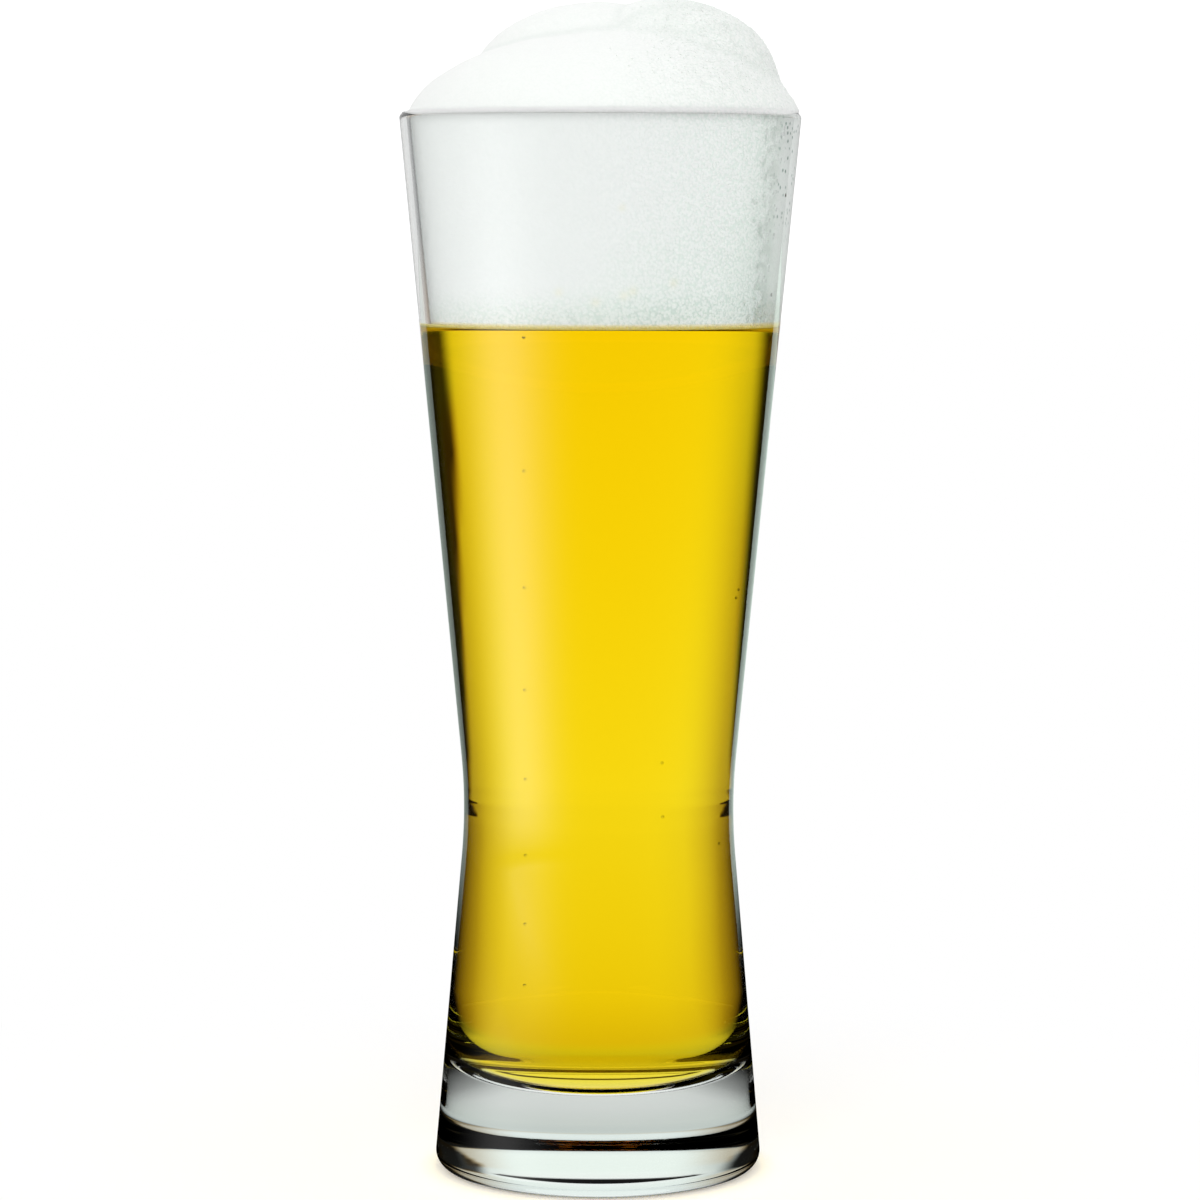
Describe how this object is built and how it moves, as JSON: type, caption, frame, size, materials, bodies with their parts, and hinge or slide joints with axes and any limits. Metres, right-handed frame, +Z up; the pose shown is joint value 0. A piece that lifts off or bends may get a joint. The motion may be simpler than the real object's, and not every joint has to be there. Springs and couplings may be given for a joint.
{
  "type": "pilsner glass",
  "caption": "Tall waisted pilsner glass with a flared bowl and a thick clear base, poured with pale beer under a white head of foam that domes above the rim.",
  "frame": {"origin": "on the table under the middle of the foot, on the glass's axis", "axes": "+Z up along the glass's axis, -Y towards the viewer of the picture, +X to their right"},
  "size_m": [0.079, 0.079, 0.2318],
  "materials": {
    "clear_glass": "polished",
    "pale_beer": "gloss",
    "beer_foam": "matte"
  },
  "bodies": {
    "root": {"glass": "clear_glass", "beer": "pale_beer", "foam_head": "beer_foam"}
  },
  "joints": []
}
